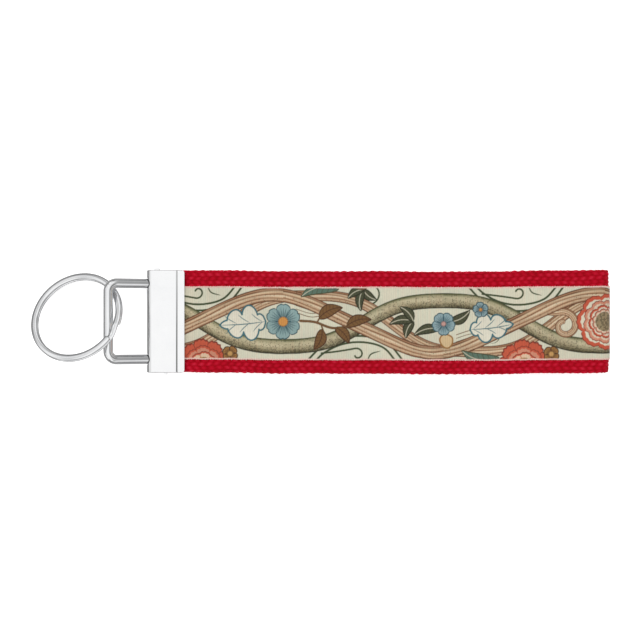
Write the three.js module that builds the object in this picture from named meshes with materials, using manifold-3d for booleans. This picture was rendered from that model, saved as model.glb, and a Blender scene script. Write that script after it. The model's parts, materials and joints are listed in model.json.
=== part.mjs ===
// Wristlet keychain, in millimetres.
// +X runs from the clamp to the fold of the strap, +Y across the strap, +Z up.
// The origin is the middle of the clamp's back face, which lies on the table.
import * as THREE from "three";
import { mergeVertices } from "three/addons/utils/BufferGeometryUtils.js";
import Module from "manifold-3d";

const wasm = await Module();
wasm.setup();

// Clamp: one stamped sheet folded into a channel, with its mouth at +X.
const CLAMP_DEPTH = 12.0;
const CLAMP_LENGTH = 32.2;
const CLAMP_HEIGHT = 6.0;
const SHEET = 0.8;
const BEND_RADIUS = 1.3;
const LIP_DEPTH = 2.3;
const LIP_DROP = 0.4;
const TEETH = 7;
const TOOTH_PITCH = 3.4;
const TOOTH_HEIGHT = 0.75;
const TOOTH_RADIUS = 0.55;
const TOOTH_FROM_EDGE = 1.1;
const TOOTH_ROOT = 0.15;
const TAB_OUT = 0.9;
const TAB_INSET = 0.4;
const ROUND_TAB_X = -3.5;
const ROUND_TAB_HALF = 0.9;
const ROUND_TAB_RADIUS = 0.6;
const POINTED_TAB_X = -0.7;
const POINTED_TAB_HALF = 1.2;
const POINTED_TAB_TIP = 0.2;

// Bail: a rectangular loop of wire, its two ends bent inwards inside the clamp.
const WIRE = 3.0;
const BAIL_WIDTH = 23.8;
const BAIL_REACH = 15.3;
const BAIL_CORNER = 2.65;
const PIN_BEND = 1.9;
const PIN_LENGTH = 4.0;
const PIVOT_X = -3.5;
const BAIL_LIFT = 27.65;
const BAIL_DOWN = 27.65;
const BAIL_UP = 3;
const SLOT_CLEARANCE = 0.3;
const SLOT_LENGTH = 5;
const SLOT_START = 0.9;
const SLOT_STEPS = 6;
// How far a Bezier handle reaches to its corner where the curve is a quarter circle.
const ROUND_HANDLE = 0.5523;

// Split ring: two turns of flattened wire with one joggle between them.
const RING_RADIUS = 15.0;
const RING_WIDTH = 2.0;
const TURN_THICKNESS = 0.93;
const TURN_GAP = 0.1;
const JOGGLE = 9;
const END_GAP = 1.5;
const RING_CENTRE = [-27.4, 1.4, 7.95];
const RING_TURN = 25.5;
const RING_TILT = 27.5;
const RING_END = -48;
const RING_EDGE = 0.25;

// Strap: webbing folded in half, with a ribbon sewn round its outer face.
const STRAP_WIDTH = 32.0;
const RIBBON_LOW = -11.9;
const RIBBON_HIGH = 11.2;
const WEBBING = 1.6;
const RIBBON = 0.35;
const GAP = 0.1;
const FOLD_HALF = 3.0;
const FOLD_END = 139.0;
const THREAD = 0.4;

// Flex lines of the strap, along X.
const NECK_START = 7.65;
const SWELL_LENGTH = 5;
const LOOP_FLEX = 15.0;
const SIDE_LENGTH = 52.0;
const FOLD_FLEX = 132.0;
const FLEX_GAP = 0.75;
const STRAP_START = -1.3;

const MID = CLAMP_HEIGHT / 2;
const MOUTH = CLAMP_DEPTH / 2;
const FRONT_FLEX = LOOP_FLEX + SIDE_LENGTH;
const BACK_FLEX = FOLD_FLEX - SIDE_LENGTH;
const radians = THREE.MathUtils.degToRad;

// Layers of one half of the strap, as heights above its middle plane. The clamp
// squeezes them at its mouth, and past it they swell to their full thickness.
const RIBBON_IN = FOLD_HALF - RIBBON;
const WEBBING_OUT = RIBBON_IN - GAP;
const WEBBING_IN = WEBBING_OUT - WEBBING;
const HALF_GAP = GAP / 2;
const JAW_INSIDE = MID - SHEET;
const full = {
  webbingIn: WEBBING_IN,
  webbingOut: WEBBING_OUT,
  ribbonIn: RIBBON_IN,
  ribbonOut: FOLD_HALF,
};
const stations = [
  { x: STRAP_START, ...squeezed(JAW_INSIDE) },
  { x: MOUTH - LIP_DEPTH, ...squeezed(JAW_INSIDE) },
  { x: MOUTH, ...squeezed(JAW_INSIDE - LIP_DROP) },
  { x: NECK_START, ...squeezed(JAW_INSIDE - LIP_DROP) },
  { x: NECK_START + SWELL_LENGTH, ...full },
  { x: FOLD_END, ...full },
];

function squeezed(jaw) {
  const ribbonOut = jaw - GAP;
  const ribbonIn = ribbonOut - RIBBON;
  return { webbingIn: HALF_GAP, webbingOut: ribbonIn - GAP, ribbonIn, ribbonOut };
}

function heightAt(surface, x) {
  const next = stations.findIndex((s) => s.x >= x);
  const b = stations[Math.max(next, 1)];
  const a = stations[Math.max(next, 1) - 1];
  return THREE.MathUtils.mapLinear(x, a.x, b.x, a[surface], b[surface]);
}

// Solids from manifold-3d and back.
function toSolid(geometry) {
  const bare = geometry.index ? geometry.toNonIndexed() : geometry.clone();
  bare.deleteAttribute("normal");
  bare.deleteAttribute("uv");
  const merged = mergeVertices(bare, 1e-4);
  const mesh = new wasm.Mesh({
    numProp: 3,
    vertProperties: new Float32Array(merged.attributes.position.array),
    triVerts: new Uint32Array(merged.index.array),
  });
  return new wasm.Manifold(mesh);
}

function toGeometry(solid) {
  const mesh = solid.getMesh();
  const geometry = new THREE.BufferGeometry();
  geometry.setAttribute("position", new THREE.BufferAttribute(mesh.vertProperties, 3));
  geometry.setIndex(new THREE.BufferAttribute(mesh.triVerts, 1));
  geometry.computeVertexNormals();
  return geometry;
}

function joined(geometries) {
  return geometries.map(toSolid).reduce((whole, piece) => whole.add(piece));
}

// A profile in the XZ plane, carried across Y from low to high.
function acrossY(shape, low, high) {
  const options = { depth: high - low, bevelEnabled: false, curveSegments: 8 };
  return new THREE.ExtrudeGeometry(shape, options).rotateX(Math.PI / 2).translate(0, high, 0);
}

// Materials.
const chrome = { color: 0xe4e6e8, roughness: 0.08, metalness: 1.0 };
const nickel = { color: 0xd2d5d8, roughness: 0.14, metalness: 1.0 };
const redCotton = { color: 0xb21029, roughness: 0.9, metalness: 0.0 };
const printedRibbon = { color: 0xd9d6bd, roughness: 0.75, metalness: 0.0 };
const paleThread = { color: 0xe6c9c4, roughness: 0.8, metalness: 0.0 };

function part(name, geometry, look) {
  const mesh = new THREE.Mesh(geometry, new THREE.MeshStandardMaterial(look));
  mesh.name = name;
  return mesh;
}

// Clamp.
function channelProfile() {
  const back = -CLAMP_DEPTH / 2;
  const outer = MID;
  const inner = JAW_INSIDE;
  const lip = MOUTH - LIP_DEPTH;
  const bend = back + BEND_RADIUS;
  const innerBend = BEND_RADIUS - SHEET;
  const shape = new THREE.Shape();
  shape.moveTo(MOUTH, MID + outer - LIP_DROP);
  shape.lineTo(lip, MID + outer);
  shape.absarc(bend, MID + outer - BEND_RADIUS, BEND_RADIUS, Math.PI / 2, Math.PI, false);
  shape.absarc(bend, MID - outer + BEND_RADIUS, BEND_RADIUS, Math.PI, 1.5 * Math.PI, false);
  shape.lineTo(lip, MID - outer);
  shape.lineTo(MOUTH, MID - outer + LIP_DROP);
  shape.lineTo(MOUTH, MID - inner + LIP_DROP);
  shape.lineTo(lip, MID - inner);
  shape.absarc(bend, MID - outer + BEND_RADIUS, innerBend, 1.5 * Math.PI, Math.PI, true);
  shape.absarc(bend, MID + outer - BEND_RADIUS, innerBend, Math.PI, Math.PI / 2, true);
  shape.lineTo(lip, MID + inner);
  shape.lineTo(MOUTH, MID + inner - LIP_DROP);
  return shape;
}

// The teeth inside one jaw: four-sided points that bite into the strap.
function teeth(side, grow) {
  const x = MOUTH - TOOTH_FROM_EDGE;
  const drop = (LIP_DROP * (LIP_DEPTH - TOOTH_FROM_EDGE)) / LIP_DEPTH;
  const root = JAW_INSIDE - drop + TOOTH_ROOT;
  const height = TOOTH_HEIGHT + grow;
  return Array.from({ length: TEETH }, (_, i) => {
    const y = (i - (TEETH - 1) / 2) * TOOTH_PITCH;
    const cone = new THREE.ConeGeometry(TOOTH_RADIUS + grow, height, 4);
    cone.rotateX(side > 0 ? -Math.PI / 2 : Math.PI / 2);
    return cone.translate(x, y, MID + side * (root - height / 2));
  });
}

// Small tabs that stand out past the ends of the back jaw.
function tabs() {
  const end = CLAMP_LENGTH / 2;
  const round = new THREE.Shape();
  const corner = ROUND_TAB_HALF - ROUND_TAB_RADIUS;
  const top = end + TAB_OUT - ROUND_TAB_RADIUS;
  round.moveTo(ROUND_TAB_X - ROUND_TAB_HALF, end - TAB_INSET);
  round.lineTo(ROUND_TAB_X + ROUND_TAB_HALF, end - TAB_INSET);
  round.absarc(ROUND_TAB_X + corner, top, ROUND_TAB_RADIUS, 0, Math.PI / 2, false);
  round.absarc(ROUND_TAB_X - corner, top, ROUND_TAB_RADIUS, Math.PI / 2, Math.PI, false);
  const pointed = new THREE.Shape();
  pointed.moveTo(POINTED_TAB_X - POINTED_TAB_HALF, -end + TAB_INSET);
  pointed.lineTo(POINTED_TAB_X - POINTED_TAB_TIP, -end - TAB_OUT);
  pointed.lineTo(POINTED_TAB_X + POINTED_TAB_TIP, -end - TAB_OUT);
  pointed.lineTo(POINTED_TAB_X + POINTED_TAB_HALF, -end + TAB_INSET);
  const options = { depth: SHEET - GAP, bevelEnabled: false, curveSegments: 4 };
  return [round, pointed].map((shape) => new THREE.ExtrudeGeometry(shape, options));
}

// The room that one leg of the bail sweeps as it swings between its stops.
function slot(side) {
  const radius = WIRE / 2 + SLOT_CLEARANCE;
  const places = Array.from({ length: SLOT_STEPS + 1 }, (_, i) => {
    const lift = BAIL_LIFT - BAIL_DOWN + ((BAIL_DOWN + BAIL_UP) * i) / SLOT_STEPS;
    const leg = new THREE.CylinderGeometry(radius, radius, SLOT_LENGTH, 12);
    leg.rotateZ(Math.PI / 2).translate(-SLOT_LENGTH / 2 - SLOT_START, 0, 0);
    return leg.rotateY(radians(lift)).translate(PIVOT_X, (side * BAIL_WIDTH) / 2, MID);
  });
  return joined(places);
}

function clampShell() {
  const half = CLAMP_LENGTH / 2;
  const sheet = acrossY(channelProfile(), -half, half);
  const whole = joined([sheet, ...teeth(1, 0), ...teeth(-1, 0), ...tabs()]);
  return toGeometry(whole.subtract(slot(1)).subtract(slot(-1)));
}

// Bail. Its path lies in its own plane: u away from the pivot, v across.
function bailPath() {
  const half = BAIL_WIDTH / 2;
  const lift = radians(BAIL_LIFT);
  const at = (u, v) =>
    new THREE.Vector3(PIVOT_X - u * Math.cos(lift), v, MID + u * Math.sin(lift));
  const path = new THREE.CurvePath();
  const line = (a, b) => path.add(new THREE.LineCurve3(at(...a), at(...b)));
  const handle = (a, corner) => at(...a).lerp(at(...corner), ROUND_HANDLE);
  const bend = (a, corner, b) => {
    const handles = [handle(a, corner), handle(b, corner)];
    path.add(new THREE.CubicBezierCurve3(at(...a), ...handles, at(...b)));
  };
  line([0, -half + PIN_LENGTH], [0, -half + PIN_BEND]);
  bend([0, -half + PIN_BEND], [0, -half], [PIN_BEND, -half]);
  line([PIN_BEND, -half], [BAIL_REACH - BAIL_CORNER, -half]);
  bend([BAIL_REACH - BAIL_CORNER, -half], [BAIL_REACH, -half], [BAIL_REACH, -half + BAIL_CORNER]);
  line([BAIL_REACH, -half + BAIL_CORNER], [BAIL_REACH, half - BAIL_CORNER]);
  bend([BAIL_REACH, half - BAIL_CORNER], [BAIL_REACH, half], [BAIL_REACH - BAIL_CORNER, half]);
  line([BAIL_REACH - BAIL_CORNER, half], [PIN_BEND, half]);
  bend([PIN_BEND, half], [0, half], [0, half - PIN_BEND]);
  line([0, half - PIN_BEND], [0, half - PIN_LENGTH]);
  return path;
}

function bail() {
  const round = new THREE.Shape().absarc(0, 0, WIRE / 2, 0, 2 * Math.PI, false);
  const options = { steps: 80, curveSegments: 6, extrudePath: bailPath() };
  return new THREE.ExtrudeGeometry(round, options);
}

// Split ring: the middle line of its wire, from the end of the lower turn to the
// end of the upper one. Its frames keep the flat of the wire square to the axis.
class SplitRingPath extends THREE.Curve {
  getPoint(t, target = new THREE.Vector3()) {
    const start = JOGGLE + END_GAP;
    const angle = THREE.MathUtils.lerp(start, 720 - start, t);
    const climb = THREE.MathUtils.smoothstep(angle, 360 - JOGGLE, 360 + JOGGLE) - 0.5;
    const radius = RING_RADIUS - RING_WIDTH / 2;
    const place = radians(angle + RING_END);
    const height = climb * (TURN_THICKNESS + TURN_GAP);
    return target.set(radius * Math.cos(place), radius * Math.sin(place), height);
  }

  computeFrenetFrames(segments) {
    const frames = { tangents: [], normals: [], binormals: [] };
    for (let i = 0; i <= segments; i++) {
      const tangent = this.getTangentAt(i / segments);
      const outwards = new THREE.Vector3(-tangent.y, tangent.x, 0).normalize();
      frames.tangents.push(tangent);
      frames.normals.push(new THREE.Vector3().crossVectors(outwards, tangent));
      frames.binormals.push(outwards);
    }
    return frames;
  }
}

function splitRing() {
  const thick = TURN_THICKNESS / 2;
  const wide = RING_WIDTH / 2;
  const section = new THREE.Shape();
  section.moveTo(-thick, -wide + RING_EDGE);
  section.lineTo(-thick + RING_EDGE, -wide);
  section.lineTo(thick - RING_EDGE, -wide);
  section.lineTo(thick, -wide + RING_EDGE);
  section.lineTo(thick, wide - RING_EDGE);
  section.lineTo(thick - RING_EDGE, wide);
  section.lineTo(-thick + RING_EDGE, wide);
  section.lineTo(-thick, wide - RING_EDGE);
  return new THREE.ExtrudeGeometry(section, { steps: 96, extrudePath: new SplitRingPath() });
}

// Strap. One layer between two of its surfaces, from one X to another.
function layerShape(inner, outer, from, to, side) {
  const inside = stations.map((s) => s.x).filter((x) => x > from && x < to);
  const xs = [from, ...inside, to];
  const edge = (surface) =>
    xs.map((x) => new THREE.Vector2(x, MID + side * heightAt(surface, x)));
  return new THREE.Shape([...edge(inner), ...edge(outer).reverse()]);
}

// One layer of the far half of the front, round the fold and a little way back.
function foldShape(inner, outer) {
  const centre = FOLD_END - FOLD_HALF;
  const small = heightAt(inner, centre);
  const large = heightAt(outer, centre);
  const front = FRONT_FLEX + FLEX_GAP;
  const back = FOLD_FLEX + FLEX_GAP;
  const quarter = Math.PI / 2;
  const shape = new THREE.Shape();
  shape.moveTo(front, MID + small);
  shape.lineTo(centre, MID + small);
  shape.absarc(centre, MID, small, quarter, -quarter, true);
  shape.lineTo(back, MID - small);
  shape.lineTo(back, MID - large);
  shape.lineTo(centre, MID - large);
  shape.absarc(centre, MID, large, -quarter, quarter, false);
  shape.lineTo(front, MID + large);
  return shape;
}

const stretches = [
  { name: "end_front", from: STRAP_START, to: MOUTH, side: 1 },
  { name: "end_back", from: STRAP_START, to: MOUTH, side: -1 },
  { name: "neck_front", from: NECK_START, to: LOOP_FLEX - FLEX_GAP, side: 1 },
  { name: "near_back", from: NECK_START, to: BACK_FLEX - FLEX_GAP, side: -1 },
  { name: "near_front", from: LOOP_FLEX + FLEX_GAP, to: FRONT_FLEX - FLEX_GAP, side: 1 },
  { name: "far_back", from: BACK_FLEX + FLEX_GAP, to: FOLD_FLEX - FLEX_GAP, side: -1 },
  { name: "fold" },
];

// The rows of sewing lie along the two edges of the ribbon, just clear of them.
const rows = [
  { name: "upper", low: RIBBON_HIGH + GAP },
  { name: "lower", low: RIBBON_LOW - GAP - THREAD },
];

function shapeOf(stretch, inner, outer) {
  if (stretch.name === "fold") return foldShape(inner, outer);
  return layerShape(inner, outer, stretch.from, stretch.to, stretch.side);
}

// The clamp's teeth pass through the ribbon and into the webbing.
function bitten(geometry, stretch) {
  if (!stretch.name.startsWith("end")) return geometry;
  const bites = joined(teeth(stretch.side, GAP));
  return toGeometry(toSolid(geometry).subtract(bites));
}

function strapParts() {
  const half = STRAP_WIDTH / 2;
  return stretches.flatMap((stretch) => {
    const webbing = acrossY(shapeOf(stretch, "webbingIn", "webbingOut"), -half, half);
    const ribbonShape = shapeOf(stretch, "ribbonIn", "ribbonOut");
    const ribbon = acrossY(ribbonShape, RIBBON_LOW, RIBBON_HIGH);
    const sewing = rows.map(({ name, low }) =>
      part(`thread_${name}_${stretch.name}`, acrossY(ribbonShape, low, low + THREAD), paleThread),
    );
    return [
      part(`webbing_${stretch.name}`, bitten(webbing, stretch), redCotton),
      part(`ribbon_${stretch.name}`, bitten(ribbon, stretch), printedRibbon),
      ...sewing,
    ];
  });
}

const ring = part("split_ring", splitRing(), nickel);
ring.position.set(...RING_CENTRE);
ring.rotation.set(radians(-RING_TILT), 0, radians(RING_TURN), "ZYX");

const group = new THREE.Group();
group.add(part("clamp_shell", clampShell(), chrome));
group.add(part("bail", bail(), nickel));
group.add(ring);
group.add(...strapParts());

export default group;
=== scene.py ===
# Wristlet keychain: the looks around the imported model. Lengths are in millimetres in this
# script and turn into metres when a mesh is made.
import json
import math

import bmesh
import bpy
import numpy as np
from mathutils import Euler, Matrix, Vector


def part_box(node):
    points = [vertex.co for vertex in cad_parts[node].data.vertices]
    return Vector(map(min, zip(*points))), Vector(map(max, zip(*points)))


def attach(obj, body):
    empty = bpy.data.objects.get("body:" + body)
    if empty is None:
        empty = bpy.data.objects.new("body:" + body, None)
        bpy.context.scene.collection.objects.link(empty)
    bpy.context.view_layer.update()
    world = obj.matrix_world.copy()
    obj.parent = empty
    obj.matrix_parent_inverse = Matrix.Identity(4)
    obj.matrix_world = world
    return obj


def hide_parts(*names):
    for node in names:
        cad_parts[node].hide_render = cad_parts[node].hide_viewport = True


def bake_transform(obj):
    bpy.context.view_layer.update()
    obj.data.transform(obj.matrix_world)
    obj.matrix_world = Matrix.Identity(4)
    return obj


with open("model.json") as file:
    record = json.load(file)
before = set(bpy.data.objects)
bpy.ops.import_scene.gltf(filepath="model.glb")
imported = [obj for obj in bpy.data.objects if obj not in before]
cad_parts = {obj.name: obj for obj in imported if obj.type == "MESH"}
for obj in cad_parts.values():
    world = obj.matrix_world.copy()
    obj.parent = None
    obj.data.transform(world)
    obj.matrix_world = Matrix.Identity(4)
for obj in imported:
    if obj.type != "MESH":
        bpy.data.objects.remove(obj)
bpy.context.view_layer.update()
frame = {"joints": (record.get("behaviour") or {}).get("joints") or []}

MM = 0.001
TURN = 2 * math.pi

# ---------------------------------------------------------------- sizes from the frame


def box_mm(node):
    low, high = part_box(node)
    return np.array(low) / MM, np.array(high) / MM


def joint_mm(name):
    joint = next(j for j in frame["joints"] if j["name"] == name)
    return np.array(joint["pos_m"]) / MM


SHELL_LOW, SHELL_HIGH = box_mm("clamp_shell")
RING_LOW, RING_HIGH = box_mm("split_ring")
SIDE_LOW, SIDE_HIGH = box_mm("webbing_near_front")
FACE_LOW, FACE_HIGH = box_mm("ribbon_near_front")
BAIL_HIGH = box_mm("bail")[1]
FOLD_HIGH = box_mm("ribbon_fold")[1]
STRAP_START = box_mm("webbing_end_front")[0][0]

PIVOT = joint_mm("bail_swing")
BAR = joint_mm("ring_swing")
LOOP_FLEX = joint_mm("loop_open")[0]
FRONT_FLEX = joint_mm("loop_top_flex")[0]
FOLD_FLEX = joint_mm("loop_back_flex")[0]
OPEN_FLEX = FOLD_FLEX - (FRONT_FLEX - LOOP_FLEX)

MID = PIVOT[2]
MOUTH = SHELL_HIGH[0]
FOLD_HALF = FACE_HIGH[2] - MID
FOLD_CENTRE = FOLD_HIGH[0] - FOLD_HALF
WEB_IN = SIDE_LOW[2] - MID
WEB_OUT = SIDE_HIGH[2] - MID
RIBBON_IN = FACE_LOW[2] - MID
HINGE = (WEB_IN + FOLD_HALF) / 2
HALF_WIDTH = SIDE_HIGH[1]
RIBBON_LOW = FACE_LOW[1]
SELVAGE_TRIM = 0.25
RIBBON_HIGH = FACE_HIGH[1] - SELVAGE_TRIM
RIBBON_MIDDLE = (RIBBON_LOW + RIBBON_HIGH) / 2

# ---------------------------------------------------------------- meshes


def smoothstep(low, high, x):
    t = np.clip((np.asarray(x, float) - low) / (high - low), 0, 1)
    return t * t * (3 - 2 * t)


def link(name, mesh):
    piece = bpy.data.objects.new(name, mesh)
    bpy.context.scene.collection.objects.link(piece)
    return piece


def tube_mesh(name, rings):
    """A closed mesh from rings of points (rings, points in a ring, 3), in millimetres."""
    count, around = rings.shape[:2]
    sides = (count - 1) * around
    ring = np.arange(0, sides, around)[:, None]
    here = np.arange(around)
    after = (here + 1) % around
    quads = np.stack([ring + here, ring + after, ring + around + after, ring + around + here], 2)
    corners = np.concatenate([quads.ravel(), here[::-1], sides + here])
    starts = np.append(np.arange(0, 4 * sides + 1, 4), 4 * sides + around)
    mesh = bpy.data.meshes.new(name)
    mesh.vertices.add(count * around)
    mesh.vertices.foreach_set("co", (rings * MM).astype(np.float32).ravel())
    mesh.loops.add(len(corners))
    mesh.loops.foreach_set("vertex_index", corners.astype(np.int32))
    mesh.polygons.add(len(starts))
    mesh.polygons.foreach_set("loop_start", starts.astype(np.int32))
    mesh.update(calc_edges=True)
    mesh.polygons.foreach_set("use_smooth", np.arange(len(starts)) < sides)
    mesh.update()
    return mesh


def face_outwards(mesh):
    """Turns the faces round if the closed mesh's volume comes out negative."""
    work = bmesh.new()
    work.from_mesh(mesh)
    if work.calc_volume(signed=True) < 0:
        bmesh.ops.reverse_faces(work, faces=work.faces[:])
        work.to_mesh(mesh)
    work.free()
    return mesh


def mesh_of(name, work):
    """The finished mesh of a bmesh, which is freed."""
    mesh = bpy.data.meshes.new(name)
    work.to_mesh(mesh)
    work.free()
    return mesh


def prism(name, outline, place):
    """A closed prism: place(a, b, end) puts a point of the outline at either end, 0 or 1."""
    work = bmesh.new()
    ends = [[work.verts.new(Vector(place(a, b, end)) * MM) for a, b in outline] for end in (0, 1)]
    work.faces.new(ends[0])
    work.faces.new(list(reversed(ends[1])))
    for i in range(len(outline)):
        j = (i + 1) % len(outline)
        work.faces.new([ends[0][j], ends[0][i], ends[1][i], ends[1][j]])
    bmesh.ops.recalc_face_normals(work, faces=work.faces[:])
    return link(name, mesh_of(name, work))


def hull(name, points):
    """The convex solid round some points, in millimetres."""
    work = bmesh.new()
    for point in points:
        work.verts.new(Vector(point) * MM)
    made = bmesh.ops.convex_hull(work, input=work.verts[:])
    inside = [v for v in made["geom_interior"] if isinstance(v, bmesh.types.BMVert)]
    bmesh.ops.delete(work, geom=inside, context="VERTS")
    return link(name, mesh_of(name, work))


def applied(piece):
    """Replaces a piece's mesh by what its modifiers make of it."""
    graph = bpy.context.evaluated_depsgraph_get()
    mesh = bpy.data.meshes.new_from_object(piece.evaluated_get(graph))
    piece.modifiers.clear()
    piece.data = mesh
    return piece


def combine(piece, tool, operation):
    change = piece.modifiers.new(operation, "BOOLEAN")
    change.operation = operation
    change.solver = "EXACT"
    change.object = tool
    applied(piece)
    bpy.data.objects.remove(tool)


def arc(centre, radius, start, end, steps):
    """Points of an arc, with its angles in degrees."""
    angles = np.radians(np.linspace(start, end, steps + 1))
    return [(centre[0] + radius * math.cos(a), centre[1] + radius * math.sin(a)) for a in angles]


# ---------------------------------------------------------------- materials


def linear(red, green, blue):
    """A screen colour, 0 to 255, as linear light."""
    c = np.array([red, green, blue], float) / 255
    return np.where(c <= 0.04045, c / 12.92, ((c + 0.055) / 1.055) ** 2.4)


def stops(*rows):
    """Colour stops from rows of a place and a screen colour."""
    return [(place, linear(*colour)) for place, *colour in rows]


def shades(*rows):
    """Grey stops from rows of a place and a level of light."""
    return [(place, (level, level, level)) for place, level in rows]


class Nodes:
    """Short ways to add nodes to a shader tree."""

    def __init__(self, tree):
        self.tree = tree

    def node(self, kind, settings=None, **inputs):
        """A new node. Inputs go by name, or by number as i0, i1 and so on."""
        made = self.tree.nodes.new(kind)
        for key, value in (settings or {}).items():
            setattr(made, key, value)
        for key, value in inputs.items():
            numbered = key[1:].isdigit()
            self.feed(made.inputs[int(key[1:]) if numbered else key.replace("_", " ")], value)
        return made

    def feed(self, socket, value):
        if isinstance(value, bpy.types.NodeSocket):
            self.tree.links.new(value, socket)
        else:
            socket.default_value = value

    def math(self, operation, a, b=0.0):
        return self.node("ShaderNodeMath", {"operation": operation}, i0=a, i1=b).outputs[0]

    def plus(self, a, b, share):
        """The sum of a and a share of b."""
        return self.math("ADD", a, self.math("MULTIPLY", b, share))

    def noise(self, vector, scale, detail=3.0, roughness=0.55):
        inputs = {"Vector": vector, "Scale": scale, "Detail": detail, "Roughness": roughness}
        return self.node("ShaderNodeTexNoise", **inputs).outputs["Fac"]

    def span(self, value, low, high, to_low, to_high):
        made = self.node("ShaderNodeMapRange", i0=value, i1=low, i2=high, i3=to_low, i4=to_high)
        return made.outputs[0]

    def ramp(self, value, rows):
        made = self.node("ShaderNodeValToRGB", Fac=value)
        elements = made.color_ramp.elements
        while len(elements) < len(rows):
            elements.new(0.5)
        for element, (position, colour) in zip(elements, rows):
            element.position = position
            element.color = (*colour, 1)
        return made.outputs["Color"]

    def stretched(self, vector, along, across, deep=1.0):
        scale = (along, across, deep)
        made = self.node("ShaderNodeVectorMath", {"operation": "MULTIPLY"}, i0=vector, i1=scale)
        return made.outputs[0]

    def mixed(self, share, first, second):
        """A colour between two, by a share from 0 to 1."""
        made = self.node("ShaderNodeMix", {"data_type": "RGBA"}, Factor=share, i6=first, i7=second)
        return made.outputs[2]

    def scaled(self, colour, share):
        made = self.node("ShaderNodeVectorMath", {"operation": "SCALE"}, i0=colour, Scale=share)
        return made.outputs[0]

    def attribute(self, name, output="Vector"):
        return self.node("ShaderNodeAttribute", {"attribute_name": name}).outputs[output]

    def place(self):
        return self.node("ShaderNodeTexCoord").outputs["Object"]


class Look(Nodes):
    """A material round one Principled shader."""

    def __init__(self, name, **constants):
        self.material = bpy.data.materials.new(name)
        self.material.use_nodes = True
        super().__init__(self.material.node_tree)
        self.shader = self.tree.nodes["Principled BSDF"]
        for socket, value in constants.items():
            self.shader.inputs[socket.replace("_", " ")].default_value = value

    def paint(self, colour, roughness):
        self.feed(self.shader.inputs["Base Color"], colour)
        self.feed(self.shader.inputs["Roughness"], roughness)

    def bump(self, height, strength, distance):
        made = self.node("ShaderNodeBump", Height=height, Strength=strength, Distance=distance)
        self.feed(self.shader.inputs["Normal"], made.outputs["Normal"])


def metal_look(name, bright, dull, smooth, rough, scratch):
    """Bright plating with a slight unevenness, fine rubbing marks and duller patches."""
    look = Look(name, Metallic=1.0)
    place = look.place()
    cloud = look.noise(place, 160.0, 2.0)
    rubbed = look.noise(look.stretched(place, 900.0, 5200.0, 5200.0), 1.0, 4.0, 0.7)
    wear = look.plus(look.math("MULTIPLY", cloud, 0.6), rubbed, 0.4)
    look.paint(look.ramp(wear, [(0.3, bright), (0.75, dull)]), look.span(wear, 0.3, 0.75, smooth, rough))
    look.bump(rubbed, scratch, 0.00004)
    return look.material


def webbing_look():
    """Cotton webbing: painted shade makes it deep red between the yarns, and a painted highlight makes
    it lighter on top of them, where it is also fluffy.
    """
    look = Look("red_cotton_webbing", Sheen_Weight=0.08, Sheen_Roughness=0.45, Specular_IOR_Level=0.12)
    look.shader.inputs["Sheen Tint"].default_value = (*linear(240, 120, 136), 1)
    strap = look.attribute("strap")
    relief = look.attribute("relief", "Fac")
    fibres = look.noise(look.stretched(strap, 1.3, 7.5), 1.0, 4.0, 0.65)
    patches = look.noise(strap, 0.22, 2.0)
    fluff = look.noise(look.stretched(strap, 3.0, 4.0), 1.0, 2.0)
    # The yarns' height sets the colour: painted shade makes it deep red in the troughs, and a painted
    # highlight makes it lighter on the crests.
    height = look.plus(look.math("MULTIPLY", relief, 0.62), fibres, 0.3)
    shade_to_highlight_reds = stops((0.20, 130, 0, 8), (0.42, 168, 1, 24), (0.64, 186, 10, 38), (0.90, 200, 34, 58))
    colour = look.ramp(look.plus(height, patches, 0.22), shade_to_highlight_reds)
    look.paint(colour, look.span(fluff, 0.3, 0.7, 0.74, 0.95))
    look.bump(look.plus(fibres, fluff, 0.5), 0.55, 0.00012)
    return look.material


def ribbon_look():
    """Printed ribbon: the print is a colour of its own, broken up by cross ribs and threads. The cross
    ribs come in with the print as painted shade.
    """
    look = Look("printed_grosgrain", Sheen_Weight=0.12, Sheen_Roughness=0.4, Specular_IOR_Level=0.3)
    strap = look.attribute("strap")
    printed = look.attribute("print", "Color")
    threads = look.noise(look.stretched(strap, 9.0, 1.1), 1.0, 3.0, 0.6)
    slubs = look.noise(look.stretched(strap, 2.2, 0.35), 1.0, 2.0)
    shade = look.span(look.plus(threads, slubs, 0.5), 0.4, 1.1, 0.84, 1.08)
    look.paint(look.scaled(printed, shade), look.span(threads, 0.3, 0.7, 0.62, 0.8))
    look.bump(threads, 0.4, 0.00006)
    return look.material


def thread_look():
    """Pale sewing thread that has picked up a little red from the webbing."""
    look = Look("pale_sewing_thread", Sheen_Weight=0.15, Specular_IOR_Level=0.35)
    strap = look.attribute("strap")
    twist = look.noise(look.stretched(strap, 7.0, 3.0), 1.0, 3.0)
    dye = look.noise(strap, 0.8, 2.0)
    pales = stops((0.36, 206, 138, 130), (0.52, 236, 206, 192), (0.68, 246, 234, 222))
    colour = look.ramp(look.plus(look.math("MULTIPLY", twist, 0.5), dye, 0.5), pales)
    look.paint(colour, look.span(twist, 0.3, 0.7, 0.6, 0.85))
    look.bump(twist, 0.5, 0.00005)
    return look.material


CHROME = metal_look("bright_chrome_plate", (0.965, 0.968, 0.97), (0.91, 0.915, 0.925), 0.03, 0.10, 0.06)
NICKEL = metal_look("bright_nickel_wire", (0.93, 0.935, 0.94), (0.80, 0.81, 0.83), 0.04, 0.13, 0.12)
WEBBING = webbing_look()
RIBBON = ribbon_look()
THREAD = thread_look()

# ---------------------------------------------------------------- clamp

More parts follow.
